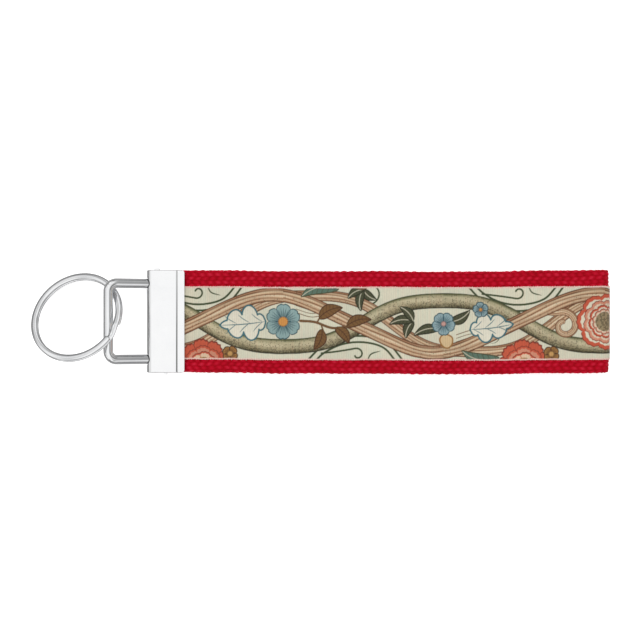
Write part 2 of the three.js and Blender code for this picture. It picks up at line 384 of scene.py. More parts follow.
SHEET = 0.8
BEND_RADIUS = 1.9
LIP_DEPTH = 2.3
LIP_DROP = 0.4
CREASE_WIDE = 0.52
CREASE_DEEP = 0.285
CREASE_FROM = MOUTH - LIP_DEPTH - CREASE_WIDE / 2
CREASE_TO = MOUTH - LIP_DEPTH + CREASE_WIDE / 2
LIP_STEP = 0.14
LIP_CORNER = 0.9
BACK_CORNER = 0.35
CLAMP_HALF = 16.1
EDGE_ROUNDING = 0.32
TEETH = 7
TOOTH_PITCH = 3.4
TOOTH_HEIGHT = 0.75
TOOTH_RADIUS = 0.55
TOOTH_FROM_EDGE = 1.1
TOOTH_SUNK = 0.02
TAB_LOW = 0.02
TAB_TOP = 0.7
TAB_ROOT = 0.6
TAB_RADIUS = 0.6
SLOT_CLEARANCE = 0.3
SLOT_REACH = (0.9, 6.0)
SLOT_SIDES = 20
BAIL_SWEEP = 30.65
TOOL_HALF = 17
TOOL_RISE = 0.2
PLAN_MARGIN = 0.01
PLAN_LOW = -1
PLAN_DEEP = 8
BEND_STEPS = 14
EDGE_SUPPORT = 0.06
EDGE_TURNS = (72, 54, 36, 18, 0)
SHARP_FROM = 24


def jaw_face(side):
    return MID + side * (SHELL_HIGH[2] - MID)


def back_bend(side, inset, start, end):
    """Part of the back bend's arc, some way inside the sheet's face."""
    centre = (SHELL_LOW[0] + BEND_RADIUS, jaw_face(side) - side * BEND_RADIUS)
    return arc(centre, BEND_RADIUS - inset, start * side, end * side, BEND_STEPS)


def jaw_line(side, inset):
    """The outer line of one jaw from the lip to the back bend, some way inside the sheet's face."""
    outer = jaw_face(side) - side * inset
    lip = [(MOUTH, outer - side * LIP_DROP), (CREASE_TO, outer - side * LIP_STEP)]
    return [*lip, (CREASE_FROM, outer), *back_bend(side, inset, 90, 180)]


def crease_tool(side):
    """What the pressed crease takes out of a jaw: a slope down to the foot of the lip."""
    outer = jaw_face(side)
    above = outer + side * TOOL_RISE
    foot = outer - side * CREASE_DEEP
    outline = [(CREASE_FROM, outer), (CREASE_TO, foot), (CREASE_TO, above), (CREASE_FROM, above)]
    return prism("crease", outline, lambda x, z, end: (x, TOOL_HALF * (2 * end - 1), z))


def inner_line(side):
    """The inner line of one jaw from the back bend to the lip."""
    inner = jaw_face(side) - side * SHEET
    lip = [(MOUTH - LIP_DEPTH, inner), (MOUTH, inner - side * LIP_DROP)]
    return [*back_bend(side, SHEET, 180, 90), *lip]


def clamp_sheet():
    """The folded channel, cut to the length of the clamp, with its outer edges rounded at both ends."""
    levels = [(EDGE_ROUNDING, CLAMP_HALF)]
    for turn in np.radians(EDGE_TURNS):
        inset = EDGE_ROUNDING * (1 - math.cos(turn))
        levels.append((inset, CLAMP_HALF - EDGE_ROUNDING * (1 - math.sin(turn))))
    levels.append((0.0, levels[-1][1] - EDGE_SUPPORT))
    rings = []
    for inset, y in [(inset, -y) for inset, y in levels] + levels[::-1]:
        outer = jaw_line(1, inset) + jaw_line(-1, inset)[::-1]
        outline = outer + inner_line(-1)[::-1] + inner_line(1)
        rings.append([(x, y, z) for x, z in outline])
    name = "clamp_shell_polished"
    return link(name, face_outwards(tube_mesh(name, np.array(rings))))


def rounded_plan():
    """The clamp's outline from above: soft corners at the lips, tighter ones at the back."""
    half, soft, tight = CLAMP_HALF, LIP_CORNER, BACK_CORNER
    back = SHELL_LOW[0] - PLAN_MARGIN
    outline = [
        *arc((MOUTH - soft, half - soft), soft, 0, 90, 8),
        *arc((back + tight, half - tight), tight, 90, 180, 5),
        *arc((back + tight, -half + tight), tight, 180, 270, 5),
        *arc((MOUTH - soft, -half + soft), soft, 270, 360, 8),
    ]
    return prism("plan", outline, lambda x, y, end: (x, y, PLAN_LOW + PLAN_DEEP * end))


def slot_tool(side):
    """The room that one leg of the bail sweeps in the back bend."""
    radius = WIRE / 2 + SLOT_CLEARANCE
    points = []
    for lift in np.radians(np.linspace(0, BAIL_SWEEP, 5)):
        for u in SLOT_REACH:
            for turn in np.linspace(0, TURN, SLOT_SIDES, endpoint=False):
                across = radius * math.cos(turn)
                above = radius * math.sin(turn)
                x = PIVOT[0] - u * math.cos(lift) + above * math.sin(lift)
                z = MID + u * math.sin(lift) + above * math.cos(lift)
                points.append((x, side * BAIL_HALF + across, z))
    return hull("slot", points)


def tooth(side, y):
    """One four-sided tooth inside a jaw, pointing into the strap."""
    x = MOUTH - TOOTH_FROM_EDGE
    root = MID + side * (MID - SHEET + TOOTH_SUNK)
    tip = (x, y, root - side * TOOTH_HEIGHT)
    ways = ((1, 0), (0, 1), (-1, 0), (0, -1))
    return hull("tooth", [*((x + TOOTH_RADIUS * a, y + TOOTH_RADIUS * b, root) for a, b in ways), tip])


def tabs():
    """The two small tabs past the ends of the back jaw."""
    root = CLAMP_HALF - TAB_ROOT
    out = SHELL_HIGH[1]
    round_tab = [(-4.4, root), (-2.6, root)]
    round_tab += arc((-3.2, out - TAB_RADIUS), TAB_RADIUS, 0, 90, 6)
    round_tab += arc((-3.8, out - TAB_RADIUS), TAB_RADIUS, 90, 180, 6)
    pointed = [(-1.9, -root), (-0.95, -out + 0.1), (-0.7, -out), (-0.45, -out + 0.1), (0.5, -root)]
    return [
        prism("tab", outline, lambda x, y, top: (x, y, TAB_LOW + (TAB_TOP - TAB_LOW) * top))
        for outline in (round_tab, pointed)
    ]


def make_clamp():
    shell = clamp_sheet()
    combine(shell, rounded_plan(), "INTERSECT")
    for side in (1, -1):
        combine(shell, slot_tool(side), "DIFFERENCE")
        combine(shell, crease_tool(side), "DIFFERENCE")
    for tab in tabs():
        combine(shell, tab, "UNION")
    for side in (1, -1):
        for i in range(TEETH):
            combine(shell, tooth(side, (i - (TEETH - 1) / 2) * TOOTH_PITCH), "UNION")
    shell.data.shade_smooth()
    shell.data.set_sharp_from_angle(angle=math.radians(SHARP_FROM))
    finish_metal(shell, CHROME, "clamp", "clamp_shell")


def finish_metal(piece, material, body, node):
    piece.data.materials.clear()
    piece.data.materials.append(material)
    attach(piece, body)
    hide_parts(node)


# ---------------------------------------------------------------- bail

WIRE = 3.0
BAIL_HALF = BAIL_HIGH[1] - WIRE / 2
BAIL_REACH = math.hypot(PIVOT[0] - BAR[0], BAR[2] - PIVOT[2])
BAIL_LIFT = math.atan2(BAR[2] - PIVOT[2], PIVOT[0] - BAR[0])
BAIL_CORNER = 2.65
PIN_BEND = 1.9
PIN_LENGTH = 4.0
PIN_TAPER = 0.86
BEND_POINTS = 18
WIRE_SIDES = 36


def quarter(start, corner, end):
    """A quarter bend from start to end, whose tangents meet at the corner."""
    turns = np.linspace(0, math.pi / 2, BEND_POINTS + 1)[:, None]
    start, corner, end = (np.array(p, float) for p in (start, corner, end))
    centre = start + end - corner
    return centre + (start - centre) * np.cos(turns) + (end - centre) * np.sin(turns)


def bail_line():
    """The wire's middle line in its own plane: away from the pivot, and across."""
    half, pin, bend = BAIL_HALF, PIN_LENGTH, PIN_BEND
    reach, corner = BAIL_REACH, BAIL_CORNER
    side = [
        np.array([[0, -half + pin], [0, -half + pin - 0.3]]),
        quarter((0, -half + bend), (0, -half), (bend, -half)),
        quarter((reach - corner, -half), (reach, -half), (reach, -half + corner)),
    ]
    lower = np.concatenate(side)
    return np.concatenate([lower, lower[::-1] * (1, -1)])


def wire_rings(line, section, normal):
    """Rings of a section carried along a flat line; normal is square to the line's plane."""
    ahead = np.gradient(line, axis=0)
    ahead /= np.linalg.norm(ahead, axis=1)[:, None]
    beside = np.cross(ahead, normal)
    return line[:, None] + section[None, :, :1] * beside[:, None] + section[None, :, 1:] * normal


def spaced(line, step):
    """The same line with points about a step apart along its straight runs."""
    points = [line[0]]
    for a, b in zip(line[:-1], line[1:]):
        parts = max(1, int(np.linalg.norm(b - a) / step))
        points += [a + (b - a) * (i + 1) / parts for i in range(parts)]
    return np.array(points)


def make_bail():
    flat = spaced(bail_line(), 0.5)
    away = np.array([-math.cos(BAIL_LIFT), 0, math.sin(BAIL_LIFT)])
    across = np.array([0.0, 1, 0])
    line = np.array([PIVOT[0], 0, MID]) + flat[:, :1] * away + flat[:, 1:] * across
    turns = np.linspace(0, TURN, WIRE_SIDES, endpoint=False)
    section = WIRE / 2 * np.stack([np.cos(turns), np.sin(turns)], 1)
    rings = wire_rings(line, section, np.cross(away, across))
    for end in (0, -1):
        rings[end] = line[end] + (rings[end] - line[end]) * PIN_TAPER
    mesh = face_outwards(tube_mesh("bail_wire", rings))
    finish_metal(link("bail_wire", mesh), NICKEL, "bail", "bail")


# ---------------------------------------------------------------- split ring

RING_RADIUS = 15.0
RING_WIDTH = 2.0
TURN_THICKNESS = 0.91
TURN_GAP = 0.14
JOGGLE = 9
END_GAP = 1.5
FULLNESS = 2.25
RING_CENTRE = (RING_LOW + RING_HIGH) / 2
RING_TILT = 27.5
RING_TURN = 25.5
RING_END = -48
RING_STEPS = 620
RING_SIDES = 32
END_TAPER = 0.8


def ring_section():
    """The flattened wire's section: a full rounded shape, flatter above and below."""
    turns = np.linspace(0, TURN, RING_SIDES, endpoint=False)
    c, d = np.cos(turns), np.sin(turns)
    bulge = 2 / FULLNESS
    wide = RING_WIDTH / 2 * np.sign(c) * np.abs(c) ** bulge
    thick = TURN_THICKNESS / 2 * np.sign(d) * np.abs(d) ** bulge
    return np.stack([wide, thick], 1)


def make_ring():
    start = JOGGLE + END_GAP
    angle = np.linspace(start, 720 - start, RING_STEPS)
    place = np.radians(angle + RING_END)
    climb = (smoothstep(360 - JOGGLE, 360 + JOGGLE, angle) - 0.5) * (TURN_THICKNESS + TURN_GAP)
    section = ring_section()
    shrink = np.ones(RING_STEPS)
    shrink[[0, -1]] = END_TAPER
    across = RING_RADIUS - RING_WIDTH / 2 + section[:, 0] * shrink[:, None]
    up = climb[:, None] + section[:, 1] * shrink[:, None]
    local = np.stack([across * np.cos(place)[:, None], across * np.sin(place)[:, None], up], 2)
    turned = Euler((math.radians(-RING_TILT), 0, math.radians(RING_TURN)), "XYZ").to_matrix()
    rings = local @ np.array(turned).T + RING_CENTRE
    mesh = face_outwards(tube_mesh("split_ring_wire", rings))
    finish_metal(link("split_ring_wire", mesh), NICKEL, "split_ring", "split_ring")


# ---------------------------------------------------------------- strap: its path and layers

FOLD_ARC = math.pi * FOLD_HALF
SQUEEZED_TO = MOUTH + 1.65
SWOLLEN_AT = SQUEEZED_TO + 5.0
BOW = 0.45
NECK_START = 11.0
# Height of each layer's inner and outer surface in the clamp, at its mouth and on the free strap.
LAYERS = {
    "webbing": ((0.05, 1.65), (0.05, 1.25), (WEB_IN, WEB_OUT)),
    "ribbon": ((1.75, 2.1), (1.35, 1.7), (RIBBON_IN, FOLD_HALF)),
}


def behind(x):
    """The place along the strap of a point x on its back."""
    return 2 * FOLD_CENTRE + FOLD_ARC - x


def layer_heights(layer, along):
    """Heights of a layer's inner and outer surface above the strap's middle plane."""
    x = np.minimum(along, behind(along))
    inside, mouth, free = LAYERS[layer]
    lip = smoothstep(MOUTH - LIP_DEPTH, MOUTH, x)
    swell = smoothstep(SQUEEZED_TO - 0.6, SWOLLEN_AT, x)
    surfaces = []
    for a, b, c in zip(inside, mouth, free):
        surfaces.append(a + (b - a) * lip + (c - b) * swell)
    return surfaces


def placed(along, height, y):
    """Points of the strap in the frame, from the place along it, height and place across."""
    along, height, y = np.broadcast_arrays(along, height, y)
    turn = np.clip((along - FOLD_CENTRE) / FOLD_HALF, 0, math.pi)
    run = np.where(turn <= 0, along, np.where(turn < math.pi, FOLD_CENTRE, behind(along)))
    return np.stack([run + height * np.sin(turn), y, MID + height * np.cos(turn)], -1)


def wander(along):
    """How far the soft strap strays sideways from a straight line: a slow bow and small waves."""
    share = np.clip((np.minimum(along, behind(along)) - MOUTH) / (FOLD_CENTRE + FOLD_HALF - MOUTH), 0, 1)
    bow = -BOW * np.sin(math.pi * share**1.3)
    return bow + 0.10 * np.sin(along / 9.1 + 0.6) + 0.06 * np.sin(along / 3.7 + 2.0)


HIDDEN_TURN = math.radians(62)
NECK_END = (LOOP_FLEX + FRONT_FLEX) / 2
SIDE_END = (FRONT_FLEX + FOLD_FLEX) / 2
FAR_END = (OPEN_FLEX + FOLD_FLEX) / 2
# Where each stretch starts and ends along the strap, from one end round the fold to the other.
RUN = {
    "front_end": (STRAP_START, NECK_START),
    "front_neck": (NECK_START, NECK_END),
    "front_side": (NECK_END, SIDE_END),
    "turn": (SIDE_END, behind(FOLD_CENTRE)),
    "back_far": (behind(FOLD_CENTRE), behind(FAR_END)),
    "back_middle": (behind(FAR_END), behind(OPEN_FLEX)),
    "back_near": (behind(OPEN_FLEX), behind(NECK_START)),
    "back_end": (behind(NECK_START), behind(STRAP_START)),
}
# The body of each stretch, or the two that it bends between and where the bend starts and ends.
BODIES = {
    "front_end": ("clamp", "strap_base", MOUTH + 0.1, MOUTH + 4.5),
    "front_neck": ("strap_base", "loop_front_side", LOOP_FLEX - 3.5, LOOP_FLEX + 4),
    "front_side": ("loop_front_side", "loop_top", FRONT_FLEX - 7, FRONT_FLEX + 7),
    "turn": ("loop_top",),
    "back_far": ("loop_top", "loop_back_side", FOLD_CENTRE - 0.5, FOLD_FLEX - 6),
    "back_middle": ("loop_back_side",),
    "back_near": ("strap_base",),
    "back_end": ("strap_base", "clamp", MOUTH + 4.5, MOUTH + 0.1),
}
# The frame's name for each stretch that stands for one of its nodes.
NODES = {
    "front_end": "end_front",
    "front_neck": "neck_front",
    "front_side": "near_front",
    "turn": "fold",
    "back_far": "far_back",
    "back_near": "near_back",
    "back_end": "end_back",
}


def join_body(piece, stretch):
    """Makes a stretch ride on its body; a stretch between two bodies only has its place baked into its
    mesh.
    """
    bodies = BODIES[stretch]
    if len(bodies) == 1:
        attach(piece, bodies[0])
        return
    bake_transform(piece)


def along_steps(stretch, step):
    start, end = RUN[stretch]
    return np.linspace(start, end, int(math.ceil((end - start) / step)) + 1)


def knuckle_rows(stretch):
    """At the open pivot a stretch ends in a round knuckle: angles of its last sections."""
    if stretch not in ("back_middle", "back_near"):
        return None
    return np.radians(np.linspace(0, 90, 9))[1:]


def point_attribute(mesh, name, kind, values):
    made = mesh.attributes.new(name, kind, "POINT")
    key = {"FLOAT": "value", "FLOAT_VECTOR": "vector", "FLOAT_COLOR": "color"}[kind]
    made.data.foreach_set(key, values.astype(np.float32).ravel())


def strap_piece(name, rings, material, coordinates, **extra):
    """A piece of the strap with its own coordinates: along, across and depth."""
    mesh = tube_mesh(name, rings)
    point_attribute(mesh, "strap", "FLOAT_VECTOR", coordinates)
    for key, values in extra.items():
        kind = "FLOAT_COLOR" if values.ndim > 2 else "FLOAT"
        point_attribute(mesh, key, kind, values)
    face_outwards(mesh)
    mesh.materials.append(material)
    return link(name, mesh)


# ---------------------------------------------------------------- webbing

WEBBING_STEP = 0.22
FINE = 0.16
COARSE = 1.6
INNER = 0.45
EDGE_POINTS = 15
WEAVE_PERIOD = 2.4
ROWS = 54
RELIEF = 0.42
RELIEF_SINK = 0.16
COVER_BLUR = 0.25
KNUCKLE_REACH = 0.8


def webbing_section():
    """The loop round the webbing: y, share of the thickness, outward y and height, place round
    the loop; and the loop's length."""
    radius = (WEB_OUT - WEB_IN) / 2
    flat = HALF_WIDTH - radius
    low = np.arange(-flat, RIBBON_LOW + 0.5, FINE)
    high = np.arange(RIBBON_HIGH - 0.5, flat, FINE)
    middle = np.arange(low[-1] + COARSE, high[0] - COARSE / 2, COARSE)
    top = np.concatenate([low, middle, high])
    bottom = np.linspace(flat, -flat, int(2 * flat / INNER))
    beta = np.linspace(math.pi / 2, -math.pi / 2, EDGE_POINTS)
    parts = []
    for y in top:
        parts.append((y, 1.0, 0.0, 1.0, y + flat))
    for b in beta:
        run = 2 * flat + radius * (math.pi / 2 - b)
        y = flat + radius * math.cos(b)
        parts.append((y, 0.5 + 0.5 * math.sin(b), math.cos(b), math.sin(b), run))
    for y in bottom[1:-1]:
        parts.append((y, 0.0, 0.0, -1.0, 2 * flat + math.pi * radius + flat - y))
    for b in beta[::-1]:
        run = 4 * flat + math.pi * radius + radius * (math.pi / 2 + b)
        y = -flat - radius * math.cos(b)
        parts.append((y, 0.5 + 0.5 * math.sin(b), -math.cos(b), math.sin(b), run))
    return np.array(parts[1:]).T, 4 * flat + TURN * radius


def weave(along, run, length):
    """Height of the webbing's yarns, 0 to 1: staggered floats in rows along the strap."""
    pitch = length / ROWS
    swing = 0.11 * np.sin(along / 4.3 + run / 7.0) + 0.08 * np.sin(along / 1.7 + run / 2.1)
    place = (run + swing) / pitch
    row = np.floor(place)
    q = 2 * (place - row) - 1
    lean = 0.09 * q * np.where(row % 2 == 0, 1, -1)
    jitter = 0.16 * np.sin(row * 12.9898 + 4.1) + 0.09 * np.sin(along / 5.7 + row * 2.4)
    phase = along / WEAVE_PERIOD + 0.5 * (row % 2) + lean + jitter
    number = np.floor(phase + 0.5)
    size = 0.78 + 0.22 * np.sin(number * 7.13 + row * 3.77)
    crest = 0.5 + 0.5 * np.cos(TURN * phase)
    across = np.sqrt(np.clip(1 - (0.94 * q) ** 2, 0, 1))
    return across * (0.26 + 0.74 * crest**0.75) * size


def make_webbing(stretch):
    (y, share, out_y, out_h, run), length = webbing_section()
    along = along_steps(stretch, WEBBING_STEP)
    inner, outer = layer_heights("webbing", along)
    bends = knuckle_rows(stretch)
    if bends is not None:
        along, inner, outer = with_knuckle(stretch, along, inner, outer, bends)
    along, inner, outer = (values[:, None] for values in (along, inner, outer))
    grid = along + 0 * y
    relief = weave(grid, run, length)
    below_top = smoothstep(RIBBON_HIGH + COVER_BLUR, RIBBON_HIGH - COVER_BLUR, y)
    covered = below_top * smoothstep(RIBBON_LOW - COVER_BLUR, RIBBON_LOW + COVER_BLUR, y)
    free = 1 - covered * (share > 0.99)
    loose = smoothstep(MOUTH - 0.5, MOUTH + 2.5, np.minimum(along, behind(along)))
    rise = (RELIEF * relief - RELIEF_SINK) * free * (0.25 + 0.75 * loose)
    height = inner + (outer - inner) * share + out_h * rise
    rings = placed(grid, height, y + out_y * rise + wander(along))
    coordinates = np.stack([grid, run + 0 * grid, height], 2)
    # The relief attribute also sets the webbing's painted shade in the troughs and its painted highlight
    # on the crests.
    piece = strap_piece(f"webbing_{stretch}", rings, WEBBING, coordinates, relief=relief)
    declare(piece, stretch, "webbing")


def with_knuckle(stretch, along, inner, outer, bends):
    """Adds the round end of a stretch at the open pivot, half as deep as the webbing."""
    reach = KNUCKLE_REACH * np.sin(bends)
    low = HINGE - (HINGE - WEB_IN) * np.cos(bends)
    high = HINGE + (WEB_OUT - HINGE) * np.cos(bends)
    if stretch == "back_middle":
        pairs = ((along, along[-1] + reach), (inner, low), (outer, high))
    else:
        pairs = ((along[0] - reach[::-1], along), (low[::-1], inner), (high[::-1], outer))
    return [np.concatenate(pair) for pair in pairs]


def declare(piece, stretch, layer):
    join_body(piece, stretch)
    if stretch in NODES:
        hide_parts(f"{layer}_{NODES[stretch]}")


# ---------------------------------------------------------------- the print on the ribbon

SPAN = 50.0
FIRST_BLOOM = 31.0
CREAM = linear(215, 211, 188)
OUTLINE = linear(78, 50, 32)
UMBER = linear(112, 82, 54)
LEAF_BROWN = linear(120, 86, 50)
DARK_GREEN = linear(66, 76, 50)
TEAL = linear(66, 108, 116)
TEAL_PATCH = linear(92, 116, 100)
BLUE = linear(142, 168, 166)
BLUE_DARK = linear(52, 84, 92)
ORANGE = linear(212, 146, 76)
CORAL = linear(196, 88, 62)
CORAL_PALE = linear(206, 138, 112)
CORAL_DARK = linear(128, 54, 40)
OCHRE = linear(156, 112, 62)
LEAF_DARK = linear(76, 78, 56)
PALE_RIB = linear(196, 190, 166)
PALE_STEM = linear(215, 212, 190)
PALE_LEAF = linear(224, 219, 200)
SKY_BLUE = linear(140, 164, 168)
SELVAGE = linear(236, 194, 184)
SELVAGE_FROM = (RIBBON_HIGH - RIBBON_LOW) / 2 - 0.5
LEAF_EDGE = linear(44, 46, 30)
CORAL_RINGS = (
    (1.0, 9, CORAL, CORAL_DARK, 0.35),
    (0.74, 7, CORAL_PALE, CORAL, 0.7),
    (0.52, 6, linear(222, 190, 160), CORAL, 0.5),
)
PALE_RINGS = (
    (1.04, 7, linear(220, 212, 188), CORAL, 1.2),
    (0.80, 9, linear(218, 196, 170), CORAL_PALE, 0.9),
    (0.61, 8, linear(222, 206, 182), CORAL, 0.6),
    (0.47, 11, linear(218, 196, 170), CORAL_PALE, 0.4),
)
PEACH_BANDS = stops(
    (-1.0, 76, 48, 32), (-0.84, 140, 98, 70), (-0.66, 212, 184, 150), (-0.50, 180, 138, 104),
    (-0.42, 104, 68, 46), (-0.32, 198, 160, 124), (-0.05, 224, 206, 175), (0.10, 172, 130, 96),
    (0.17, 100, 66, 44), (0.27, 200, 164, 128), (0.46, 216, 194, 160), (0.60, 132, 92, 64),
    (0.68, 100, 66, 44), (0.78, 174, 132, 98), (0.90, 116, 78, 54), (1.0, 70, 44, 30),
)
BARK_BANDS = stops(
    (-1.0, 56, 54, 38), (-0.84, 88, 82, 58), (-0.62, 126, 116, 86), (-0.30, 168, 155, 122),
    (0.15, 200, 187, 153), (0.55, 186, 176, 142), (0.78, 114, 114, 80), (0.90, 82, 84, 56),
    (1.0, 66, 70, 48),
)


def speckle(points, pitch, seed):
    """A repeatable random number, 0 to 1, for each square cell of the cloth."""
    cell = np.floor(points / pitch)
    mixed = np.sin(cell[:, 0] * 127.1 + cell[:, 1] * 311.7 + seed * 74.7) * 43758.5453
    return mixed - np.floor(mixed)


def curve(points, parts=9):
    """A smooth line through given points."""
    p = np.array(points, float)
    p = np.concatenate([[2 * p[0] - p[1]], p, [2 * p[-1] - p[-2]]])
    t = np.linspace(0, 1, parts, endpoint=False)[:, None]
    pieces = []
    for a, b, c, d in zip(p[:-3], p[1:-2], p[2:-1], p[3:]):
        cubic = (3 * b - a - 3 * c + d) * t**3 + (2 * a - 5 * b + 4 * c - d) * t**2
        pieces.append(0.5 * (cubic + (c - a) * t + 2 * b))
    return np.concatenate([*pieces, p[-2:-1]])


def closed_curve(points, parts=9):
    """A smooth closed outline through given points."""
    looped = [points[-1], *points, points[0], points[1]]
    return curve(looped, parts)[parts:-parts]


def offsets(points, line):
    """Distance from a line, the side of it, and the place along it from 0 to 1."""
    a, step = line[:-1], np.diff(line, axis=0)
    away = points[:, None] - a[None]
    t = np.clip((away * step).sum(2) / np.maximum((step * step).sum(1), 1e-9), 0, 1)
    gap = np.linalg.norm(away - t[..., None] * step, axis=2)
    nearest = gap.argmin(1)
    pick = np.arange(len(points))
    away, step = away[pick, nearest], step[nearest]
    side = np.sign(step[:, 0] * away[:, 1] - step[:, 1] * away[:, 0])
    return gap[pick, nearest], side, (nearest + t[pick, nearest]) / len(a)


def inside(points, outline):
    """Whether each point lies inside a closed outline."""
    x, y = points[:, :1], points[:, 1:]
    ax, ay = outline[:-1].T
    bx, by = outline[1:].T
    straddle = (ay > y) != (by > y)
    crossing = ax + (y - ay) * (bx - ax) / np.where(by == ay, 1e-9, by - ay)
    return (straddle & (x < crossing)).sum(1) % 2 == 1


BUD = closed_curve([(50.2, 3.2), (48.8, 4.8), (49.6, 6.8), (51.2, 7.6), (52.6, 6.4), (52.6, 4.2)], 5)


class Print:
    """Colours of a printed cloth at some points, drawn one thing over another."""

    SOFT = 0.11

    def __init__(self, points, rgb, number=0):
        self.points = points
        self.rgb = rgb
        self.flip = 1 if number % 2 == 0 else -1
        self.kind = (number + 1) % 3

    def seen_from(self, number):
        """The same cloth from the start of one span; every other span is upside down."""
        other = Print(self.points - (FIRST_BLOOM + (number - 1) * SPAN, 0), self.rgb, number)
        other.points *= (1, other.flip)
        return other

    def polar(self, at, centre, turn):
        away = self.points[at] - centre
        return np.linalg.norm(away, axis=1), np.arctan2(away[:, 1], away[:, 0]) - turn

    def around(self, line, reach):
        low, high = line.min(0) - reach, line.max(0) + reach
        within = ((self.points > low) & (self.points < high)).all(1)
        return np.nonzero(within)[0]

    def cover(self, depth):
        """How much ink lies at a depth inside an edge."""
        return np.clip(depth / self.SOFT + 0.5, 0, 1)

    def ink(self, at, amount, colour):
        self.rgb[at] += amount[:, None] * (colour - self.rgb[at])

    def wash(self, at, depth, colour):
        """Ink over everything inside an edge, from the depth of each point inside it."""
        self.ink(at, self.cover(depth), colour)

    def stroke(self, line, width, colour, taper=False, gap=0.0):
        """A line of ink; with a gap it is a double line that far apart."""
        at = self.around(line, width + gap)
        far, _, along = offsets(self.points[at], line)
        half = width / 2 * (np.sin(math.pi * np.clip(along, 0, 1)) ** 0.5 if taper else 1)
        self.wash(at, half - np.abs(far - gap / 2), colour)

    def stem(self, line, width, bands, dots=0.0, end_width=None, span=None):
        """A shaded stem: its colours go from one side to the other in bands."""
        at = self.around(line, width)
        if span is not None:
            u = self.points[at, 0]
            at = at[(u >= span[0]) & (u < span[1])]
        far, side, along = offsets(self.points[at], line)
        u = self.points[at, 0]
        half = (width + ((end_width or width) - width) * along) / 2
        q = np.clip(self.flip * side * far / half, -1, 1)
        q = q + 0.08 * np.sin(u * 0.31 + 2.5 * q) * (1 - q * q)
        places = [b[0] for b in bands]
        colour = np.stack([np.interp(q, places, [b[1][i] for b in bands]) for i in range(3)], 1)
        middle = np.mean([b[1] for b in bands[2:-2]], 0)
        faint = 0.5 * smoothstep(0.35, 0.95, 0.5 + 0.5 * np.sin(0.36 * u + 6 * q)) * (np.abs(q) < 0.8)
        colour += faint[:, None] * (middle - colour)
        grain = speckle(self.points[at], 0.27, 3)
        dark = (grain < dots * (0.25 + 1.1 * np.clip(0.25 - q, 0, 1)))[:, None]
        colour = np.where(dark, colour * 0.5, colour)
        self.wash(at, half - far, colour)

    def shape(self, outline, fill, edge, edge_width, dots=None):
        """A closed shape with a drawn edge, and dots of the edge's colour inside it."""
        at = self.around(outline, edge_width)
        within = inside(self.points[at], outline)
        far, _, _ = offsets(self.points[at], outline)
        depth = np.where(within, far, -far)
        if fill is not None:
            self.wash(at, depth, fill)
        if dots is not None:
            specks = within & (speckle(self.points[at], 0.5, 7) < dots)
            self.ink(at, specks * 0.7, edge)
        self.wash(at, edge_width / 2 - far, edge)

    def leaf(self, base, tip, width, fill, edge, rib, bend=0.12):
        """A pointed leaf with a middle vein and side veins."""
        base, tip = np.array(base, float), np.array(tip, float)
        at = self.around(np.array([base, tip]), width)
        axis = tip - base
        size = np.linalg.norm(axis)
        away = self.points[at] - base
        a = away @ axis / size**2
        c = (away[:, 1] * axis[0] - away[:, 0] * axis[1]) / size
        a_in = np.clip(a, 0, 1)
        c = c - bend * size * 4 * a_in * (1 - a_in)
        half = width / 2 * np.sin(math.pi * a_in**0.78) ** 0.8
        depth = np.where((a > 0) & (a < 1), half - np.abs(c), -1.0)
        self.wash(at, depth, fill)
        veins = np.abs(((a * 7 - np.abs(c) / width * 1.7) % 1) - 0.5) < 0.12
        self.ink(at, self.cover(depth - 0.15) * veins * 0.5, edge)
        self.ink(at, self.cover(0.13 - np.abs(c)) * (depth > 0), rib)
        self.wash(at, 0.17 - np.abs(depth - 0.04), edge)

    def flower(self, centre, radius, petals, fill, vein, eye, eye_radius, turn=0.0):
        """A flat open flower with rounded petals, radial veins and an eye."""
        at = self.around(np.array([centre, centre], float), radius * 1.1)
        r, theta = self.polar(at, centre, turn)
        lobe = np.abs(np.cos(petals * theta / 2))
        notch = 0.05 * np.exp(-(((1 - lobe) / 0.02) ** 2))
        edge = radius * (0.76 + 0.24 * lobe**0.5 - notch)
        self.wash(at, edge - r, fill)
        reach = 0.62 + 0.3 * np.cos(petals * 5 * theta)
        streak = (0.5 + 0.5 * np.cos(petals * 10 * theta)) * smoothstep(reach, reach - 0.25, r / edge)
        shade = 0.45 * smoothstep(0.75, 0.30, r / edge)
        self.ink(at, self.cover(edge - r) * np.clip(streak + shade, 0, 0.85), vein)
        self.wash(at, 0.16 - np.abs(edge - r), vein)
        split = lobe * r / petals * 2 < 0.13
        self.ink(at, split * self.cover(edge - r) * 0.9, vein)
        self.wash(at, eye_radius - r, eye)
        rim = self.cover(0.18 - np.abs(eye_radius - r)) * (0.5 + 0.5 * np.cos(14 * theta))
        self.ink(at, rim, eye * 0.4)

    def rosette(self, centre, radius, colours, ruffle, disc_radius, disc, turn=0.0):
        """A full flower: ruffled rings of petals round a speckled disc."""
        at = self.around(np.array([centre, centre], float), radius * 1.2)
        r, theta = self.polar(at, centre, turn)
        for step, (share, petals, fill, rim, rim_width) in enumerate(colours):
            lobe = np.abs(np.cos(petals * (theta + 0.5 * step) / 2))
            edge = radius * share * (0.86 + 0.14 * lobe**0.5 + ruffle * np.sin(4 * petals * theta))
            self.wash(at, edge - r, fill)
            split = (lobe * r / petals * 2 < 0.12) & (r < edge)
            self.ink(at, split * 0.9, rim)
            self.wash(at, rim_width / 2 - np.abs(edge - rim_width / 2 - r), rim)
            self.wash(at, 0.13 - np.abs(edge - r), CORAL_DARK)
        self.wash(at, disc_radius - r, disc)
        specks = (speckle(self.points[at], 0.42, 11) < 0.5) & (r < disc_radius)
        self.ink(at, specks * 0.75, disc * 0.4)

    def pale_stem(self, line, width, edge_width=0.62):
        """A cream stem with dark green outlines."""
        self.stroke(line, width, PALE_STEM)
        self.stroke(line, edge_width, DARK_GREEN, gap=width)

